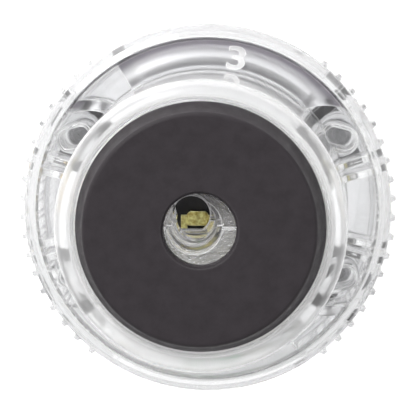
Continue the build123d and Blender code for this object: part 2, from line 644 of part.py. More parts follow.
# Long assembly screws, four alike
def make_assembly_screws():
    head_top = SCREW_SINK + SCREW_HEAD_H
    screws = []
    for x, y in SCREW_SPOTS:
        head = round_bar(SCREW_HEAD_R, SCREW_SINK, head_top)
        head -= block(-1.3, 1.3, -0.3, 0.3, SCREW_SINK - 1, SCREW_SINK + 0.9)
        head -= block(-0.3, 0.3, -1.3, 1.3, SCREW_SINK - 1, SCREW_SINK + 0.9)
        end = head_top + SCREW_LENGTH
        shank = round_bar(SCREW_R, head_top, end - 0.8)
        tip = Pos(0, 0, end - 0.4) * Cone(SCREW_R, SCREW_R - 0.5, 0.8)
        screws.append(Pos(x, y, 0) * (head + shank + tip))
    return Compound(children=screws)


# Pilot lamp: glass envelope, electrodes, resistor, leads
def make_neon_lamp():
    wall = 0.45
    z0 = FACE_THICK
    z1 = FACE_THICK + LAMP_LENGTH
    dome = 1.4
    edges = Line((0, z0), (LAMP_R - dome, z0))
    edges += ThreePointArc((LAMP_R - dome, z0), (LAMP_R - 0.29 * dome, z0 + 0.29 * dome),
                           (LAMP_R, z0 + dome))
    edges += Polyline((LAMP_R, z0 + dome), (LAMP_R, z1 - 0.8), (LAMP_R - 0.7, z1), (0, z1), (0, z0))
    envelope = turned(edges)
    hollow = round_bar(LAMP_R - wall, z0 + dome, z1 - 1.6)
    pinch = block(-LAMP_R + 0.5, LAMP_R - 0.5, -0.6, 0.6, z1 - 0.2, LAMP_TOP_Z)
    return Pos(LAMP_X, LAMP_Y, 0) * (envelope - hollow + pinch)


def make_lamp_electrodes():
    z1 = FACE_THICK + LAMP_LENGTH - 1.6
    rods = [round_bar(ELECTRODE_R, z1 - ELECTRODE_L, z1, LAMP_X + s * ELECTRODE_GAP / 2, LAMP_Y) for s in (-1, 1)]
    return Compound(children=rods)


def make_lamp_resistor():
    body = round_bar(RESISTOR_R, RESISTOR_Z, RESISTOR_Z + RESISTOR_L)
    for z in (RESISTOR_Z + 0.9, RESISTOR_Z + RESISTOR_L - 0.9):
        body += round_bar(RESISTOR_R + 0.15, z - 0.9, z + 0.9)
    ends = body.edges().filter_by(GeomType.CIRCLE).group_by(Axis.Z)
    body = fillet(ends[0] + ends[-1], 0.3)
    return Pos(-LAMP_X, LAMP_Y, 0) * body


def lead_to_tab(first_angle, side):
    touch = TAB_OUT + LEAD_R
    tab_low = TERMINAL_Y - TAB_W / 2
    spots = []
    for angle in (first_angle, first_angle / 2 + 5.0, 11.0):
        x, y = polar(LEAD_RUN_R, -angle)
        spots.append((side * x, y, LEAD_RUN_Z))
    spots.append((side * touch, tab_low + LEAD_R, LEAD_RUN_Z))
    spots.append((side * touch, tab_low + 5 * LEAD_R, LEAD_RUN_Z))
    return spots


def make_lamp_lead_neutral():
    start = (LAMP_X + ELECTRODE_GAP / 2, LAMP_Y)
    stations = [(*start, LAMP_TOP_Z), (*start, LEAD_RUN_Z)]
    return tube(stations + lead_to_tab(42.0, 1), LEAD_R, LEAD_BEND)


def make_lamp_lead_resistor():
    x0 = LAMP_X - ELECTRODE_GAP / 2
    x1 = TAB_W / 2 + 3 * LEAD_R
    y1 = -GROUND_TAB_OUT - 2 * LEAD_R
    low = WINDOW_FLOOR_Z - 4 * LEAD_R
    high = LAMP_TOP_Z + 3 * LEAD_R
    stations = [
        (x0, LAMP_Y, LAMP_TOP_Z), (x0, LAMP_Y, high), (x1, y1, high), (x1, y1, low),
        (-LAMP_X, LAMP_Y, low), (-LAMP_X, LAMP_Y, RESISTOR_Z + RESISTOR_L)]
    return tube(stations, LEAD_R, LEAD_BEND)


def make_lamp_lead_line():
    low = RESISTOR_Z - 4 * LEAD_R
    turn = polar(LEAD_RUN_R + LEAD_CLEAR, 180 + 42.0)
    stations = [(-LAMP_X, LAMP_Y, RESISTOR_Z), (-LAMP_X, LAMP_Y, low), (*turn, low), (*turn, LEAD_RUN_Z)]
    return tube(stations + lead_to_tab(30.0, -1), LEAD_R, LEAD_BEND)


# Elastomer gland at the cord end
def make_cord_gland():
    flange_top = GLAND_SEAT_Z + GLAND_FLANGE_H
    shoulder = GLAND_TOP_Z - GLAND_EDGE_DROP
    edges = Polyline(
        (GLAND_CUP_R, GLAND_SEAT_Z), (GLAND_FLANGE_R, GLAND_SEAT_Z), (GLAND_FLANGE_R, flange_top),
        (GLAND_R, flange_top), (GLAND_R, shoulder))
    size = GLAND_EDGE_ROUND
    flat_r = GLAND_R - GLAND_EDGE_IN
    edges += Line((GLAND_R, shoulder), (flat_r + 0.3 * size, GLAND_TOP_Z - size))
    edges += ThreePointArc((flat_r + 0.3 * size, GLAND_TOP_Z - size), (flat_r, GLAND_TOP_Z - 0.3 * size),
                           (flat_r - 0.6 * size, GLAND_TOP_Z))
    hole_round = 0.25
    edges += Polyline(
        (flat_r - 0.6 * size, GLAND_TOP_Z), (GLAND_HOLE_R + hole_round, GLAND_TOP_Z),
        (GLAND_HOLE_R, GLAND_TOP_Z - hole_round), (GLAND_HOLE_R, GLAND_TOP_Z - GLAND_SKIN),
        (GLAND_CUP_R, GLAND_TOP_Z - GLAND_SKIN), (GLAND_CUP_R, GLAND_SEAT_Z))
    return turned(edges)


# Cord grips with stepped, slightly offset opening, and a channel down to its throat
def grip_opening():
    top = GLAND_TOP_Z - GLAND_SKIN
    z = top
    cuts = []
    for radius, depth, x, y in JAW_STEPS:
        cuts.append(round_bar(radius, z - depth - 0.01, z + 0.01, x, y))
        z -= depth
    throat_r, throat_depth, _, _ = JAW_STEPS[-1]
    cuts.append(round_bar(throat_r, z + throat_depth, top + 0.01, JAW_CHANNEL_X, JAW_CHANNEL_Y))
    cuts.append(round_bar(JAW_FLARE_R, JAW_SEAT_Z - 1, z, JAW_STEPS[-1][2], JAW_STEPS[-1][3]))
    return cuts


def make_cord_grip(side):
    top = GLAND_TOP_Z - GLAND_SKIN
    shape = round_bar(JAW_R, JAW_SEAT_Z, GLAND_SEAT_Z) + round_bar(GLAND_CUP_R - FIT, GLAND_SEAT_Z - 0.5, top)
    for cut in grip_opening():
        shape -= cut
    reach = 2 * JAW_R
    keep = block(-reach, reach, JAW_GAP / 2, reach, JAW_SEAT_Z - 1, top + 1)
    if side > 0:
        return shape & keep
    shape &= mirror(keep, Plane.XZ)
    throat_r, throat_depth, shift, _ = JAW_STEPS[-1]
    throat_top = top - sum(step[1] for step in JAW_STEPS[:-1])
    tongue = block(shift - throat_r - 0.3, shift + throat_r + 0.3, TONGUE_Y - TONGUE_THICK, TONGUE_Y,
                   throat_top - throat_depth, throat_top)
    shape += tongue
    slot_y = TONGUE_Y - TONGUE_THICK
    shape -= block(shift - 0.8 * throat_r, shift + 0.9 * throat_r, slot_y - TONGUE_SLOT, slot_y,
                   throat_top - 1.6, throat_top + 0.6)
    return shape


NODES = {
    "rear_housing": make_rear_housing(),
    "front_body": make_front_body(),
    "contact_carrier": make_contact_carrier(),
    "line_contact": make_power_contact(-1),
    "neutral_contact": make_power_contact(1),
    "ground_contact": make_ground_contact(),
    "line_clamp_plate": mirror(terminal_plate(), Plane.YZ),
    "neutral_clamp_plate": terminal_plate(),
    "ground_clamp_plate": to_ground(terminal_plate()),
    "line_terminal_screw": mirror(terminal_screw(), Plane.YZ),
    "neutral_terminal_screw": terminal_screw(),
    "ground_terminal_screw": to_ground(terminal_screw()),
    "assembly_screws": make_assembly_screws(),
    "neon_lamp": make_neon_lamp(),
    "lamp_electrodes": make_lamp_electrodes(),
    "lamp_resistor": make_lamp_resistor(),
    "lamp_lead_neutral": make_lamp_lead_neutral(),
    "lamp_lead_resistor": make_lamp_lead_resistor(),
    "lamp_lead_line": make_lamp_lead_line(),
    "cord_gland": make_cord_gland(),
    "cord_grip_upper": make_cord_grip(1),
    "cord_grip_lower": make_cord_grip(-1),
}

os.makedirs("parts", exist_ok=True)
for name, shape in NODES.items():
    export_step(shape, "parts/" + name + ".step")
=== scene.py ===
import math

import bmesh
import bpy
from mathutils import Matrix, Vector
from mathutils.bvhtree import BVHTree


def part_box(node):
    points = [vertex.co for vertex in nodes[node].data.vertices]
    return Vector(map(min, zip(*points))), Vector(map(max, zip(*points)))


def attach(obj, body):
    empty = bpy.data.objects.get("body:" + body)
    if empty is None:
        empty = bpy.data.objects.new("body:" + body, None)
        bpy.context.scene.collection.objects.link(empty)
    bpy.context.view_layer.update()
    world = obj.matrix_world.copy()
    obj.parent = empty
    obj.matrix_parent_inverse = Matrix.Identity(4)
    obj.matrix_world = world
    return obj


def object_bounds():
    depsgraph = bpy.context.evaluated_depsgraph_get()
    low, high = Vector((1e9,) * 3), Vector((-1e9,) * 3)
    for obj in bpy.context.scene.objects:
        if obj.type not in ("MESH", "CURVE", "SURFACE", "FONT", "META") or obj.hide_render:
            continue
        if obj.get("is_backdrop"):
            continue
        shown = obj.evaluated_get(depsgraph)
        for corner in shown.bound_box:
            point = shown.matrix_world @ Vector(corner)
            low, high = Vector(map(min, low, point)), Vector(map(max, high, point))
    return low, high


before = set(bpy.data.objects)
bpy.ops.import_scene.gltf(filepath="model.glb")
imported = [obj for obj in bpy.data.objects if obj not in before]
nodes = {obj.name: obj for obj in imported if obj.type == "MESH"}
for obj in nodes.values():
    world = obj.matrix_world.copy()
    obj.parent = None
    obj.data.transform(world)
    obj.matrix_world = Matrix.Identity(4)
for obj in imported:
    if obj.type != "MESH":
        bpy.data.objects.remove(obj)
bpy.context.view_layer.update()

scene = bpy.context.scene
scene.view_settings.view_transform = "Standard"


# Camera. It stands above the cord end, a little towards +Y and +X, and its
# picture's top is +Y, so the part is seen as in the photograph
rim_z = 0.0335
camera_far = 0.300
tilt_x = 0.031
tilt_y = 0.088
picture_px = 416.0
px_per_m = 9150.0
sensor_mm = 36.0
aim = Vector((0.0, 0.0, rim_z))
back = Vector((tilt_x, tilt_y, 1.0)).normalized()
right = Vector((0.0, 1.0, 0.0)).cross(back).normalized()
up = back.cross(right).normalized()
cam_data = bpy.data.cameras.new("camera")
cam = bpy.data.objects.new("camera", cam_data)
scene.collection.objects.link(cam)
turned = Matrix((right, up, back)).transposed().to_4x4()
cam.matrix_world = Matrix.Translation(aim + back * camera_far) @ turned
cam_data.sensor_width = sensor_mm
cam_data.lens = sensor_mm * camera_far * px_per_m / picture_px
cam_data.shift_x = 1.0 / picture_px
cam_data.shift_y = 1.0 / picture_px
cam_data.clip_start = 0.01
cam_data.clip_end = 10.0
scene.camera = cam


# Floor, a pale table. A glow for the camera and for rays that come through
# the clear plastic makes it white there, and its paint takes the shadow. From
# below it isn't seen, so the contact face can be looked at
def join(tree, source, target):
    tree.links.new(source, target)


def blank_material(name):
    mat = bpy.data.materials.new(name)
    mat.use_nodes = True
    mat.node_tree.nodes.clear()
    return mat, mat.node_tree


def math_node(tree, operation, *values):
    node = tree.nodes.new("ShaderNodeMath")
    node.operation = operation
    for socket, value in zip(node.inputs, values):
        if isinstance(value, (int, float)):
            socket.default_value = value
        else:
            join(tree, value, socket)
    return node.outputs[0]


def seen_through(tree):
    path = tree.nodes.new("ShaderNodeLightPath")
    seen = math_node(tree, "MAXIMUM", path.outputs["Is Camera Ray"], path.outputs["Is Transmission Ray"])
    return math_node(tree, "MAXIMUM", seen, path.outputs["Is Glossy Ray"])


floor_z = -0.0001
floor_half = 1.0
floor_glow = 0.72
floor_paint = (0.85, 0.85, 0.85, 1.0)
bm = bmesh.new()
bmesh.ops.create_grid(bm, x_segments=1, y_segments=1, size=floor_half)
bmesh.ops.translate(bm, verts=bm.verts, vec=(0.0, 0.0, floor_z))
mesh = bpy.data.meshes.new("floor")
bm.to_mesh(mesh)
bm.free()
floor = bpy.data.objects.new("floor", mesh)
scene.collection.objects.link(floor)
floor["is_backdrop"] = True
mat, tree = blank_material("floor_white")
out = tree.nodes.new("ShaderNodeOutputMaterial")
paint = tree.nodes.new("ShaderNodeBsdfDiffuse")
paint.inputs["Color"].default_value = floor_paint
glow = tree.nodes.new("ShaderNodeEmission")
both = tree.nodes.new("ShaderNodeAddShader")
join(tree, math_node(tree, "MULTIPLY", seen_through(tree), floor_glow), glow.inputs["Strength"])
join(tree, paint.outputs[0], both.inputs[0])
join(tree, glow.outputs[0], both.inputs[1])
face = tree.nodes.new("ShaderNodeNewGeometry")
open_below = tree.nodes.new("ShaderNodeBsdfTransparent")
sided = tree.nodes.new("ShaderNodeMixShader")
join(tree, face.outputs["Backfacing"], sided.inputs["Fac"])
join(tree, both.outputs[0], sided.inputs[1])
join(tree, open_below.outputs[0], sided.inputs[2])
join(tree, sided.outputs[0], out.inputs["Surface"])
mesh.materials.append(mat)


# Studio room. White all round, with a grey band at the height of the table,
# which draws the edges of the clear plastic as dark cards do in a studio
room_plain = 0.62
band_grey = 0.36
band_blue = band_grey * 1.04
band_end = 0.12
white_from = 0.38
white_all = (1.0, 1.0, 1.0, 1.0)
world = bpy.data.worlds.new("studio")
scene.world = world
world.use_nodes = True
tree = world.node_tree
tree.nodes.clear()
out = tree.nodes.new("ShaderNodeOutputWorld")
room = tree.nodes.new("ShaderNodeBackground")
place = tree.nodes.new("ShaderNodeTexCoord")
parts = tree.nodes.new("ShaderNodeSeparateXYZ")
join(tree, place.outputs["Generated"], parts.inputs[0])
ramp = tree.nodes.new("ShaderNodeValToRGB")
ramp.color_ramp.elements[0].position = band_end
ramp.color_ramp.elements[0].color = (band_grey, band_grey, band_blue, 1.0)
ramp.color_ramp.elements[1].position = white_from
ramp.color_ramp.elements[1].color = white_all
join(tree, math_node(tree, "ABSOLUTE", parts.outputs["Z"]), ramp.inputs["Fac"])
path = tree.nodes.new("ShaderNodeLightPath")
plain = tree.nodes.new("ShaderNodeMix")
plain.data_type = "RGBA"
join(tree, path.outputs["Is Camera Ray"], plain.inputs["Factor"])
join(tree, ramp.outputs["Color"], plain.inputs["A"])
plain.inputs["B"].default_value = white_all
join(tree, plain.outputs["Result"], room.inputs["Color"])
strength = math_node(tree, "MULTIPLY_ADD", seen_through(tree), 1.0 - room_plain, room_plain)
join(tree, strength, room.inputs["Strength"])
join(tree, room.outputs[0], out.inputs["Surface"])


# Lamp of the studio, one soft box at the upper left of the picture
key_place = Vector((-0.20, 0.30, 0.32))
key_aim = Vector((0.0, 0.0, 0.04))
key_wide = 0.25
key_tall = 0.20
key_watts = 2.2
key_data = bpy.data.lights.new("key", "AREA")
key_data.shape = "RECTANGLE"
key_data.size = key_wide
key_data.size_y = key_tall
key_data.energy = key_watts
key = bpy.data.objects.new("key", key_data)
scene.collection.objects.link(key)
key.location = key_place
key.rotation_euler = (key_aim - key_place).to_track_quat("-Z", "Y").to_euler()


# Front body. The moulded half with the contact face, in clear polycarbonate
# with faint flow marks and a little haze. A painted white highlight lies along
# its edges. Rays that have turned round inside many times leave as the room's white
def socket(group, name, side, kind="NodeSocketFloat"):
    return group.interface.new_socket(name, in_out=side, socket_type=kind)


def mould_flow_group():
    group = bpy.data.node_groups.new("mould_flow", "ShaderNodeTree")
    for name in ("Scale", "Haze Low", "Haze High"):
        socket(group, name, "INPUT")
    for name in ("Height", "Haze"):
        socket(group, name, "OUTPUT")
    ins = group.nodes.new("NodeGroupInput")
    outs = group.nodes.new("NodeGroupOutput")
    place = group.nodes.new("ShaderNodeTexCoord")
    stretch = group.nodes.new("ShaderNodeMapping")
    stretch.inputs["Scale"].default_value = (1.0, 1.0, 0.25)
    join(group, place.outputs["Object"], stretch.inputs["Vector"])
    flow = group.nodes.new("ShaderNodeTexNoise")
    flow.inputs["Detail"].default_value = 2.0
    join(group, stretch.outputs[0], flow.inputs["Vector"])
    join(group, ins.outputs["Scale"], flow.inputs["Scale"])
    join(group, flow.outputs["Fac"], outs.inputs["Height"])
    cloud = group.nodes.new("ShaderNodeTexNoise")
    cloud.inputs["Detail"].default_value = 3.0
    join(group, place.outputs["Object"], cloud.inputs["Vector"])
    join(group, ins.outputs["Scale"], cloud.inputs["Scale"])
    spread = group.nodes.new("ShaderNodeMapRange")
    spread.inputs["From Min"].default_value = 0.35
    spread.inputs["From Max"].default_value = 0.65
    join(group, cloud.outputs["Fac"], spread.inputs["Value"])
    join(group, ins.outputs["Haze Low"], spread.inputs["To Min"])
    join(group, ins.outputs["Haze High"], spread.inputs["To Max"])
    join(group, spread.outputs["Result"], outs.inputs["Haze"])
    return group


def clear_plastic(name, tint, clear, haze, flow_scale, flow_depth, edge_round,
                  painted_edge_highlight=0.5):
    mat, tree = blank_material(name)
    out = tree.nodes.new("ShaderNodeOutputMaterial")
    plastic = tree.nodes.new("ShaderNodeBsdfPrincipled")
    plastic.inputs["Base Color"].default_value = tint
    plastic.inputs["IOR"].default_value = plastic_ior
    plastic.inputs["Transmission Weight"].default_value = clear
    flow = tree.nodes.new("ShaderNodeGroup")
    flow.node_tree = mould_flow
    flow.inputs["Scale"].default_value = flow_scale
    flow.inputs["Haze Low"].default_value = haze[0]
    flow.inputs["Haze High"].default_value = haze[1]
    join(tree, flow.outputs["Haze"], plastic.inputs["Roughness"])
    soft = tree.nodes.new("ShaderNodeBevel")
    soft.samples = 6
    soft.inputs["Radius"].default_value = edge_round
    bump = tree.nodes.new("ShaderNodeBump")
    bump.inputs["Distance"].default_value = flow_depth
    join(tree, soft.outputs["Normal"], bump.inputs["Normal"])
    join(tree, flow.outputs["Height"], bump.inputs["Height"])
    join(tree, bump.outputs["Normal"], plastic.inputs["Normal"])
    path = tree.nodes.new("ShaderNodeLightPath")
    white = tree.nodes.new("ShaderNodeEmission")
    white.inputs["Strength"].default_value = 1.0
    mix = tree.nodes.new("ShaderNodeMixShader")
    join(tree, math_node(tree, "GREATER_THAN", path.outputs["Ray Depth"], last_turn), mix.inputs["Fac"])
    face = tree.nodes.new("ShaderNodeNewGeometry")
    turn = tree.nodes.new("ShaderNodeVectorMath")
    turn.operation = "DOT_PRODUCT"
    join(tree, soft.outputs["Normal"], turn.inputs[0])
    join(tree, face.outputs["Normal"], turn.inputs[1])
    # Painted highlight: where the bevel's rounded normal turns away from the face's normal, a white diffuse
    # is mixed in, so the edges carry painted white light
    edge = tree.nodes.new("ShaderNodeMapRange")
    edge.inputs["From Min"].default_value = edge_start
    edge.inputs["From Max"].default_value = edge_full
    edge.inputs["To Max"].default_value = painted_edge_highlight
    join(tree, math_node(tree, "ABSOLUTE", turn.outputs["Value"]), edge.inputs["Value"])
    painted_highlight_white = tree.nodes.new("ShaderNodeBsdfDiffuse")
    painted_highlight_white.inputs["Color"].default_value = (0.97, 0.97, 0.97, 1.0)
    painted_highlight_mix = tree.nodes.new("ShaderNodeMixShader")
    painted_highlight_mix.label = "painted_highlight_mix"
    join(tree, edge.outputs["Result"], painted_highlight_mix.inputs["Fac"])
    join(tree, plastic.outputs[0], painted_highlight_mix.inputs[1])
    join(tree, painted_highlight_white.outputs[0], painted_highlight_mix.inputs[2])
    join(tree, painted_highlight_mix.outputs[0], mix.inputs[1])
    join(tree, white.outputs[0], mix.inputs[2])
    join(tree, mix.outputs[0], out.inputs["Surface"])
    return mat


def dress(mat, *names):
    for name in names:
        mesh = nodes[name].data
        mesh.materials.clear()
        mesh.materials.append(mat)


plastic_ior = 1.5
last_turn = 4.5
# Where the painted edge highlight starts and where it is full
edge_start = 0.97
edge_full = 0.80
mould_flow = mould_flow_group()
front_plastic = clear_plastic("clear_front", (0.92, 0.925, 0.93, 1.0), 0.88, (0.04, 0.12), 300.0,
                              0.00002, 0.0003)
dress(front_plastic, "front_body")


# Insulating block. Black moulded thermoplastic with a fine spark-eroded grain,
# rubbed a little grey along its edges, set down on the front body's ring
def fine_grain_group():
    group = bpy.data.node_groups.new("fine_grain", "ShaderNodeTree")
    for name in ("Scale", "Stretch"):
        socket(group, name, "INPUT")
    for name in ("Height", "Tone"):
        socket(group, name, "OUTPUT")
    ins = group.nodes.new("NodeGroupInput")
    outs = group.nodes.new("NodeGroupOutput")
    place = group.nodes.new("ShaderNodeTexCoord")
    along = group.nodes.new("ShaderNodeCombineXYZ")
    along.inputs["X"].default_value = 1.0
    along.inputs["Y"].default_value = 1.0
    join(group, ins.outputs["Stretch"], along.inputs["Z"])
    drawn = group.nodes.new("ShaderNodeVectorMath")
    drawn.operation = "MULTIPLY"
    join(group, place.outputs["Object"], drawn.inputs[0])
    join(group, along.outputs[0], drawn.inputs[1])
    grain = group.nodes.new("ShaderNodeTexNoise")
    grain.inputs["Detail"].default_value = 4.0
    grain.inputs["Roughness"].default_value = 0.6
    join(group, drawn.outputs[0], grain.inputs["Vector"])
    join(group, ins.outputs["Scale"], grain.inputs["Scale"])
    join(group, grain.outputs["Fac"], outs.inputs["Height"])
    patches = group.nodes.new("ShaderNodeTexNoise")
    patches.inputs["Detail"].default_value = 5.0
    patches.inputs["Roughness"].default_value = 0.65
    join(group, drawn.outputs[0], patches.inputs["Vector"])
    join(group, math_node(group, "MULTIPLY", ins.outputs["Scale"], 0.3), patches.inputs["Scale"])
    spread = group.nodes.new("ShaderNodeMapRange")
    spread.inputs["From Min"].default_value = 0.36
    spread.inputs["From Max"].default_value = 0.64
    join(group, patches.outputs["Fac"], spread.inputs["Value"])
    join(group, spread.outputs["Result"], outs.inputs["Tone"])
    return group


def edge_wear_group():
    group = bpy.data.node_groups.new("edge_wear", "ShaderNodeTree")
    socket(group, "Radius", "INPUT")
    socket(group, "Mask", "OUTPUT")
    socket(group, "Normal", "OUTPUT", "NodeSocketVector")
    ins = group.nodes.new("NodeGroupInput")
    outs = group.nodes.new("NodeGroupOutput")
    soft = group.nodes.new("ShaderNodeBevel")
    soft.samples = 4
    join(group, ins.outputs["Radius"], soft.inputs["Radius"])
    face = group.nodes.new("ShaderNodeNewGeometry")
    turn = group.nodes.new("ShaderNodeVectorMath")
    turn.operation = "DOT_PRODUCT"
    join(group, soft.outputs["Normal"], turn.inputs[0])
    join(group, face.outputs["Normal"], turn.inputs[1])
    spread = group.nodes.new("ShaderNodeMapRange")
    spread.inputs["From Min"].default_value = 0.985
    spread.inputs["From Max"].default_value = 0.80
    join(group, turn.outputs["Value"], spread.inputs["Value"])
    join(group, spread.outputs["Result"], outs.inputs["Mask"])
    join(group, soft.outputs["Normal"], outs.inputs["Normal"])
    return group


def mix_colour(tree, factor, a, b):
    node = tree.nodes.new("ShaderNodeMix")
    node.data_type = "RGBA"
    for socket_name, value in (("Factor", factor), ("A", a), ("B", b)):
        if isinstance(value, (tuple, float)):
            node.inputs[socket_name].default_value = value
        else:
            join(tree, value, node.inputs[socket_name])
    return node.outputs["Result"]


def solid_finish(name, dark, light, worn, rough, grain_scale, grain_depth, metal=0.0, specular=0.5,
                 stretch=1.0, edge_round=0.00012):
    mat, tree = blank_material(name)
    out = tree.nodes.new("ShaderNodeOutputMaterial")
    shader = tree.nodes.new("ShaderNodeBsdfPrincipled")
    shader.inputs["Metallic"].default_value = metal
    shader.inputs["Specular IOR Level"].default_value = specular
    grain = tree.nodes.new("ShaderNodeGroup")
    grain.node_tree = fine_grain
    grain.inputs["Scale"].default_value = grain_scale
    grain.inputs["Stretch"].default_value = stretch
    edge = tree.nodes.new("ShaderNodeGroup")
    edge.node_tree = edge_wear
    edge.inputs["Radius"].default_value = edge_round
    body = mix_colour(tree, grain.outputs["Tone"], dark, light)
    join(tree, mix_colour(tree, edge.outputs["Mask"], body, worn), shader.inputs["Base Color"])
    polish = tree.nodes.new("ShaderNodeMapRange")
    polish.inputs["To Min"].default_value = rough[0]
    polish.inputs["To Max"].default_value = rough[1]
    join(tree, grain.outputs["Tone"], polish.inputs["Value"])
    join(tree, polish.outputs["Result"], shader.inputs["Roughness"])
    bump = tree.nodes.new("ShaderNodeBump")
    bump.inputs["Distance"].default_value = grain_depth
    join(tree, edge.outputs["Normal"], bump.inputs["Normal"])
    join(tree, grain.outputs["Height"], bump.inputs["Height"])
    join(tree, bump.outputs["Normal"], shader.inputs["Normal"])
    join(tree, shader.outputs[0], out.inputs["Surface"])
    return mat


fine_grain = fine_grain_group()
edge_wear = edge_wear_group()
block_black = solid_finish("black_insulator", (0.012, 0.0115, 0.013, 1.0), (0.022, 0.021, 0.023, 1.0),
                           (0.05, 0.05, 0.052, 1.0), (0.32, 0.45), 2600.0, 0.000010)
dress(block_black, "contact_carrier")


# Contacts. Forks and ground sleeve stamped from brass strip, a little mottled
# by handling, with brighter sheared edges. They drop into the block's pockets
brass = solid_finish("contact_brass", (0.50, 0.38, 0.070, 1.0), (1.0, 0.96, 0.42, 1.0),
                     (1.0, 0.97, 0.60, 1.0), (0.28, 0.46), 6400.0, 0.000060, metal=0.45, stretch=0.6,
                     edge_round=0.00010)
dress(brass, "line_contact", "neutral_contact", "ground_contact")


# Clamp plates and terminal screws. Zinc-plated plates, and binding screws in
# brass, nickel and green plating, one to each pole, with rolled threads
plate_steel = solid_finish("plate_steel", (0.44, 0.44, 0.43, 1.0), (0.64, 0.64, 0.62, 1.0),
                           (0.80, 0.80, 0.79, 1.0), (0.24, 0.36), 2400.0, 0.000006, metal=1.0, stretch=0.15)
screw_brass = solid_finish("screw_brass", (0.58, 0.42, 0.14, 1.0), (0.76, 0.57, 0.24, 1.0),
                           (0.90, 0.78, 0.42, 1.0), (0.20, 0.32), 2800.0, 0.000005, metal=1.0)
screw_nickel = solid_finish("screw_nickel", (0.60, 0.60, 0.57, 1.0), (0.74, 0.74, 0.71, 1.0),
                            (0.88, 0.88, 0.86, 1.0), (0.18, 0.30), 2800.0, 0.000005, metal=1.0)
screw_green = solid_finish("screw_green", (0.035, 0.22, 0.085, 1.0), (0.06, 0.34, 0.14, 1.0),
                           (0.20, 0.46, 0.26, 1.0), (0.22, 0.34), 2800.0, 0.000005, metal=1.0)
dress(plate_steel, "line_clamp_plate", "neutral_clamp_plate", "ground_clamp_plate")
dress(screw_brass, "line_terminal_screw")
dress(screw_nickel, "neutral_terminal_screw")
dress(screw_green, "ground_terminal_screw")


def thread_ridge(bm, start, length, root_r, crest_r, pitch):
    steps_per_turn = 18
    foot = 0.42 * pitch
    crest = 0.06 * pitch
    corners = ((root_r, -foot), (crest_r, -crest), (crest_r, crest), (root_r, foot))
    first = [bm.verts.new((start.x + radius, start.y, start.z + height)) for radius, height in corners]
    section = bm.faces.new(first)
    turns = length / pitch
    steps = int(steps_per_turn * turns)
    bmesh.ops.spin(bm, geom=[section] + list(section.edges) + first, cent=(start.x, start.y, 0.0),
                   axis=(0.0, 0.0, 1.0), dvec=(0.0, 0.0, length / steps),
                   angle=turns * 2.0 * math.pi, steps=steps)


def add_piece(name, bm, mat, smooth=True):
    bmesh.ops.recalc_face_normals(bm, faces=bm.faces)
    for face in bm.faces:
        face.smooth = smooth
    mesh = bpy.data.meshes.new(name)
    bm.to_mesh(mesh)
    bm.free()
    piece = bpy.data.objects.new(name, mesh)
    scene.collection.objects.link(piece)
    mesh.materials.append(mat)
    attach(piece, "root")
    return piece


terminal_root_r = 0.00157
terminal_crest_r = 0.00171
terminal_pitch = 0.0006
terminal_shank = 0.0042
terminal_point = 0.0004
for pole, plating, mat in (("line", "screw_brass", screw_brass), ("neutral", "screw_nickel", screw_nickel),
                           ("ground", "screw_green", screw_green)):
    low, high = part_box(pole + "_terminal_screw")
    low, high = Vector(low), Vector(high)
    middle = (low + high) / 2
    bm = bmesh.new()
    thread_ridge(bm, Vector((0.0, 0.0, terminal_point)), terminal_shank, terminal_root_r,
                 terminal_crest_r, terminal_pitch)
    if pole == "ground":
        end = Vector((middle.x, high.y, middle.z))
        lay = Matrix.Rotation(math.pi / 2, 4, "X")
    else:
        side = -1.0 if pole == "line" else 1.0
        end = Vector((high.x if side < 0 else low.x, middle.y, middle.z))
        lay = Matrix.Rotation(side * math.pi / 2, 4, "Y")
    bmesh.ops.transform(bm, matrix=Matrix.Translation(end) @ lay, verts=bm.verts)
    add_piece(pole + "_screw_thread", bm, mat)


# Pilot lamp. A small neon lamp with two drawn electrodes in a glass envelope,
# unlit, and its ballast resistor with painted bands. Sleeved leads join them
def lamp_glass_finish():
    mat, tree = blank_material("lamp_glass")
    out = tree.nodes.new("ShaderNodeOutputMaterial")
    glass = tree.nodes.new("ShaderNodeBsdfPrincipled")
    glass.inputs["Base Color"].default_value = (0.97, 0.98, 0.98, 1.0)
    glass.inputs["Roughness"].default_value = 0.01
    glass.inputs["IOR"].default_value = 1.46
    glass.inputs["Transmission Weight"].default_value = 1.0
    join(tree, glass.outputs[0], out.inputs["Surface"])
    return mat


def banded_resistor():
    mat = solid_finish("resistor_body", (0.62, 0.50, 0.33, 1.0), (0.74, 0.62, 0.44, 1.0),
                       (0.78, 0.68, 0.52, 1.0), (0.30, 0.42), 1800.0, 0.000006)
    tree = mat.node_tree
    shader = next(node for node in tree.nodes if node.type == "BSDF_PRINCIPLED")
    body = shader.inputs["Base Color"].links[0].from_socket
    place = tree.nodes.new("ShaderNodeTexCoord")
    parts = tree.nodes.new("ShaderNodeSeparateXYZ")
    join(tree, place.outputs["Object"], parts.inputs[0])
    low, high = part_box("lamp_resistor")
    for share, band in ((0.30, (0.10, 0.035, 0.015, 1.0)), (0.43, (0.008, 0.008, 0.009, 1.0)),
                        (0.56, (0.55, 0.42, 0.02, 1.0)), (0.74, (0.50, 0.36, 0.10, 1.0))):
        middle = low[2] + share * (high[2] - low[2])
        off = math_node(tree, "ABSOLUTE", math_node(tree, "SUBTRACT", parts.outputs["Z"], middle))
        body = mix_colour(tree, math_node(tree, "LESS_THAN", off, band_half), body, band)
    join(tree, body, shader.inputs["Base Color"])
    return mat


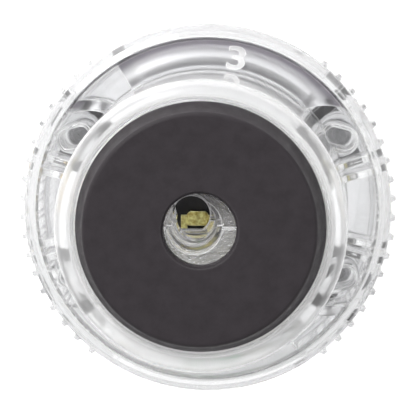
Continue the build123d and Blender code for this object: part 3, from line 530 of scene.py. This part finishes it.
band_half = 0.00026
dress(lamp_glass_finish(), "neon_lamp")
dress(banded_resistor(), "lamp_resistor")
electrode = solid_finish("electrode_nickel", (0.34, 0.33, 0.32, 1.0), (0.54, 0.53, 0.51, 1.0),
                         (0.66, 0.65, 0.63, 1.0), (0.30, 0.42), 3000.0, 0.000004, metal=1.0, stretch=0.2)
dress(electrode, "lamp_electrodes")
sleeve = solid_finish("lead_sleeve", (0.74, 0.74, 0.71, 1.0), (0.88, 0.88, 0.85, 1.0),
                      (0.90, 0.90, 0.88, 1.0), (0.48, 0.62), 4200.0, 0.000020)
dress(sleeve, "lamp_lead_neutral", "lamp_lead_resistor", "lamp_lead_line")


# Rear housing. The clear moulded half with the neck, thumb scoops and side
# wells. It is polished, and the floors of the scoops keep a fine matte skin for
# grip. Painted white light lies on the neck and the rim, a painted highlight
# along its edges, painted shade on the scoops' floors, grey and darker outward,
# full in the upper scoop and weak in the lower, and painted grey shade on the
# wells' floors
def map_range(tree, value, low, high, to_low, to_high):
    node = tree.nodes.new("ShaderNodeMapRange")
    node.interpolation_type = "SMOOTHSTEP"
    join(tree, value, node.inputs["Value"])
    for name, number in (("From Min", low), ("From Max", high), ("To Min", to_low), ("To Max", to_high)):
        node.inputs[name].default_value = number
    return node.outputs["Result"]


def rear_housing_finish():
    mat = clear_plastic("clear_rear", rear_tint, 0.84, (0.02, 0.08), 300.0, 0.00002, rear_round)
    tree = mat.node_tree
    shader = next(node for node in tree.nodes if node.type == "BSDF_PRINCIPLED")
    soft = next(node for node in tree.nodes if node.type == "BEVEL")
    place = tree.nodes.new("ShaderNodeTexCoord")
    parts = tree.nodes.new("ShaderNodeSeparateXYZ")
    join(tree, place.outputs["Object"], parts.inputs[0])
    lip = map_range(tree, parts.outputs["Z"], 0.0520, 0.0540, rear_round, neck_lip_round)
    join(tree, lip, soft.inputs["Radius"])
    flat = tree.nodes.new("ShaderNodeVectorMath")
    flat.operation = "MULTIPLY"
    flat.inputs[1].default_value = (1.0, 1.0, 0.0)
    reach = tree.nodes.new("ShaderNodeVectorMath")
    reach.operation = "LENGTH"
    join(tree, place.outputs["Object"], flat.inputs[0])
    join(tree, flat.outputs[0], reach.inputs[0])
    inside_rim = map_range(tree, reach.outputs["Value"], 0.0186, 0.0188, 1.0, 0.0)
    under_rim = map_range(tree, parts.outputs["Z"], 0.0340, 0.0352, 1.0, 0.0)
    above_hollow = math_node(tree, "GREATER_THAN", parts.outputs["Z"], hollow_top_z)
    along_y = map_range(tree, math_node(tree, "ABSOLUTE", parts.outputs["Y"]), 0.0100, 0.0112, 0.0, 1.0)
    scoop = under_rim
    for mask in (above_hollow, along_y, inside_rim):
        scoop = math_node(tree, "MULTIPLY", scoop, mask)
    off_floor = math_node(tree, "ABSOLUTE", math_node(tree, "SUBTRACT", parts.outputs["Z"], well_floor_z))
    well = math_node(tree, "LESS_THAN", off_floor, well_floor_near)
    haze = shader.inputs["Roughness"].links[0].from_socket
    matte = math_node(tree, "MAXIMUM", math_node(tree, "MULTIPLY", scoop, scoop_matte),
                      math_node(tree, "MULTIPLY", well, well_matte))
    join(tree, math_node(tree, "MAXIMUM", haze, matte), shader.inputs["Roughness"])
    # Painted shade: the scoops' floors are painted grey, and darker towards the outer wall, fully in the
    # upper scoop and at a small share in the lower
    outward = map_range(tree, reach.outputs["Value"], 0.0165, 0.0181, 0.0, 1.0)
    upper = map_range(tree, parts.outputs["Y"], -0.0020, 0.0020, lower_scoop_shade_share, 1.0)
    scoop_grey_mask = math_node(tree, "MULTIPLY", scoop, upper)
    painted_scoop_floor = mix_colour(tree, scoop_grey_mask, rear_tint, painted_scoop_grey)
    scoop_dark_mask = math_node(tree, "MULTIPLY", scoop_grey_mask, outward)
    painted_scoop_colour = mix_colour(tree, scoop_dark_mask, painted_scoop_floor, painted_scoop_dark)
    # Painted shade: the wells' floors are painted grey
    join(tree, mix_colour(tree, well, painted_scoop_colour, painted_well_grey), shader.inputs["Base Color"])
    painted_highlight_mix = next(node for node in tree.nodes if node.type == "MIX_SHADER" and node.label == "painted_highlight_mix")
    # Painted light: the neck's upper part and the rim's outer part get white diffuse mixed in, a painted
    # reflection of the white room
    neck_light_mask = map_range(tree, parts.outputs["Z"], 0.0440, 0.0470, 0.0, painted_neck_light)
    rim_light_mask = map_range(tree, reach.outputs["Value"], 0.0186, 0.0189, 0.0, painted_rim_light)
    edge = painted_highlight_mix.inputs["Fac"].links[0].from_socket
    painted_neck_rim_light = math_node(tree, "MAXIMUM", neck_light_mask, rim_light_mask)
    join(tree, math_node(tree, "MAXIMUM", edge, painted_neck_rim_light), painted_highlight_mix.inputs["Fac"])
    return mat


rear_tint = (0.97, 0.972, 0.976, 1.0)
# Colours of the painted shade on the scoops' floors, and its share in the lower scoop
painted_scoop_grey = (0.78, 0.78, 0.80, 1.0)
painted_scoop_dark = (0.10, 0.09, 0.11, 1.0)
lower_scoop_shade_share = 0.15
# Colour of the painted shade on the wells' floors
painted_well_grey = (0.74, 0.74, 0.755, 1.0)
scoop_matte = 0.34
well_matte = 0.16
well_floor_z = 0.0268
well_floor_near = 0.0004
hollow_top_z = 0.0318
rear_round = 0.00035
neck_lip_round = 0.0006
# Shares of painted white light in the neck and in the rim
painted_neck_light = 0.12
painted_rim_light = 0.06
rear_plastic = rear_housing_finish()
dress(rear_plastic, "rear_housing")


# Mould numeral. A plain raised 3, the number of the mould's cavity, in the
# same clear plastic, standing on the floor of the upper thumb scoop
numeral_x = 0.0032
numeral_y = 0.0165
numeral_size = 0.0034
numeral_turn = -0.14
numeral_bold = 0.00008
numeral_widen = 1.45
numeral_rise = 0.00045
numeral_sunk = 0.00005
numeral_merge = 0.000002
above_all_z = 0.06
lettering = bpy.data.curves.new("numeral_drawing", "FONT")
lettering.body = "3"
lettering.size = numeral_size
lettering.offset = numeral_bold
lettering.align_x = "CENTER"
lettering.align_y = "CENTER"
lettering.resolution_u = 6
drawing = bpy.data.objects.new("numeral_drawing", lettering)
scene.collection.objects.link(drawing)
bpy.context.view_layer.update()
flat = bpy.data.meshes.new_from_object(drawing)
bm = bmesh.new()
bm.from_mesh(flat)
bpy.data.objects.remove(drawing)
bpy.data.curves.remove(lettering)
bpy.data.meshes.remove(flat)
bmesh.ops.remove_doubles(bm, verts=bm.verts, dist=numeral_merge)
bmesh.ops.dissolve_limit(bm, angle_limit=0.01, verts=bm.verts, edges=bm.edges)
bmesh.ops.triangulate(bm, faces=bm.faces)
bmesh.ops.subdivide_edges(bm, edges=bm.edges, cuts=1, use_grid_fill=True)
across = [vert.co.x for vert in bm.verts]
tall = [vert.co.y for vert in bm.verts]
middle = Vector(((min(across) + max(across)) / 2, (min(tall) + max(tall)) / 2, 0.0))
bmesh.ops.translate(bm, verts=bm.verts, vec=-middle)
bmesh.ops.scale(bm, verts=bm.verts, vec=(numeral_widen, 1.0, 1.0))
bmesh.ops.rotate(bm, verts=bm.verts, cent=(0.0, 0.0, 0.0), matrix=Matrix.Rotation(numeral_turn, 3, "Z"))
bmesh.ops.translate(bm, verts=bm.verts, vec=(numeral_x, numeral_y, 0.0))
lower = list(bm.verts)
raised = bmesh.ops.extrude_face_region(bm, geom=bm.faces[:])
upper = [item for item in raised["geom"] if isinstance(item, bmesh.types.BMVert)]
floor_bm = bmesh.new()
floor_bm.from_mesh(nodes["rear_housing"].data)
scoop = BVHTree.FromBMesh(floor_bm)
for group, offset in ((lower, -numeral_sunk), (upper, numeral_rise)):
    for vert in group:
        spot = scoop.ray_cast(Vector((vert.co.x, vert.co.y, above_all_z)), Vector((0.0, 0.0, -1.0)))[0]
        vert.co.z = spot.z + offset
floor_bm.free()
# The numeral carries a full painted white highlight along its edges
numeral_plastic = clear_plastic("clear_numeral", (0.99, 0.99, 0.99, 1.0), 0.50, (0.03, 0.08), 300.0,
                                0.00001, 0.00024, painted_edge_highlight=1.0)
add_piece("mould_numeral", bm, numeral_plastic, smooth=False)


# Assembly screws. Four long thread-forming steel screws, coloured dark, put in
# from the contact face. Their tips show in the oval bosses' hollows
screw_dark = solid_finish("screw_steel", (0.035, 0.035, 0.038, 1.0), (0.20, 0.20, 0.21, 1.0),
                          (0.36, 0.36, 0.37, 1.0), (0.30, 0.48), 5200.0, 0.000030, metal=1.0)
dress(screw_dark, "assembly_screws")
screw_head_r = 0.00195
thread_root_r = 0.00127
thread_crest_r = 0.00143
thread_pitch = 0.0010
thread_low = 0.0150
thread_high = 0.0250
low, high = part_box("assembly_screws")
bm = bmesh.new()
for x in (low[0] + screw_head_r, high[0] - screw_head_r):
    for y in (low[1] + screw_head_r, high[1] - screw_head_r):
        thread_ridge(bm, Vector((x, y, thread_low)), thread_high - thread_low, thread_root_r,
                     thread_crest_r, thread_pitch)
add_piece("assembly_screw_threads", bm, screw_dark)


# Cord grips. Two jaws of the same plastic, grained on top, that close round the
# cord as the gland is pushed home. Painted shade darkens them towards the upper
# jaw's side, and a painted white highlight lies along their edges
def grip_top_and_side(mat, height, scale, depth, painted_shade):
    tree = mat.node_tree
    shader = next(node for node in tree.nodes if node.type == "BSDF_PRINCIPLED")
    bump = next(node for node in tree.nodes if node.type == "BUMP")
    flow = bump.inputs["Height"].links[0].from_socket
    grain = tree.nodes.new("ShaderNodeGroup")
    grain.node_tree = fine_grain
    grain.inputs["Scale"].default_value = scale
    grain.inputs["Stretch"].default_value = 1.0
    place = tree.nodes.new("ShaderNodeTexCoord")
    parts = tree.nodes.new("ShaderNodeSeparateXYZ")
    join(tree, place.outputs["Object"], parts.inputs[0])
    top = map_range(tree, parts.outputs["Z"], height - grip_top_blend, height, 0.0, depth)
    join(tree, math_node(tree, "MULTIPLY_ADD", grain.outputs["Height"], top, flow), bump.inputs["Height"])
    clear = tuple(shader.inputs["Base Color"].default_value)
    # Painted shade: the plastic is mixed towards dark grey towards +Y, the upper jaw's side
    painted_shade_mask = map_range(tree, parts.outputs["Y"], 0.0004, 0.0032, 0.0, 1.0)
    join(tree, mix_colour(tree, painted_shade_mask, clear, painted_shade), shader.inputs["Base Color"])


grip_top_blend = 0.0003
# Clear grip plastic with a painted white highlight along its edges
grip_plastic = clear_plastic("clear_grip", (0.95, 0.945, 0.95, 1.0), 0.92, (0.02, 0.06), 900.0,
                             0.00005, 0.00036, painted_edge_highlight=0.85)
grip_top_and_side(grip_plastic, 0.0555, 3600.0, 7.0, (0.34, 0.33, 0.35, 1.0))
dress(grip_plastic, "cord_grip_upper", "cord_grip_lower")


# Cord gland. Black elastomer with a satin moulded skin, snapped into the neck.
# Its flange and cup, inside the neck, are painted pale grey: painted light for
# the white that the clear neck's lip reflects over them
def paint_light_below(mat, height, painted_light):
    tree = mat.node_tree
    shader = next(node for node in tree.nodes if node.type == "BSDF_PRINCIPLED")
    body = shader.inputs["Base Color"].links[0].from_socket
    place = tree.nodes.new("ShaderNodeTexCoord")
    parts = tree.nodes.new("ShaderNodeSeparateXYZ")
    join(tree, place.outputs["Object"], parts.inputs[0])
    # Painted light: below the given height the rubber is mixed towards pale grey
    painted_light_mask = map_range(tree, parts.outputs["Z"], height - painted_light_blend, height, 1.0, 0.0)
    join(tree, mix_colour(tree, painted_light_mask, body, painted_light), shader.inputs["Base Color"])


painted_light_blend = 0.0004
gland_rubber = solid_finish("black_elastomer", (0.027, 0.0228, 0.026, 1.0), (0.034, 0.029, 0.033, 1.0),
                            (0.085, 0.080, 0.084, 1.0), (0.46, 0.62), 2200.0, 0.000012, specular=0.16,
                            edge_round=0.00035)
paint_light_below(gland_rubber, 0.0545, (0.85, 0.85, 0.84, 1.0))
dress(gland_rubber, "cord_gland")


low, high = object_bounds()
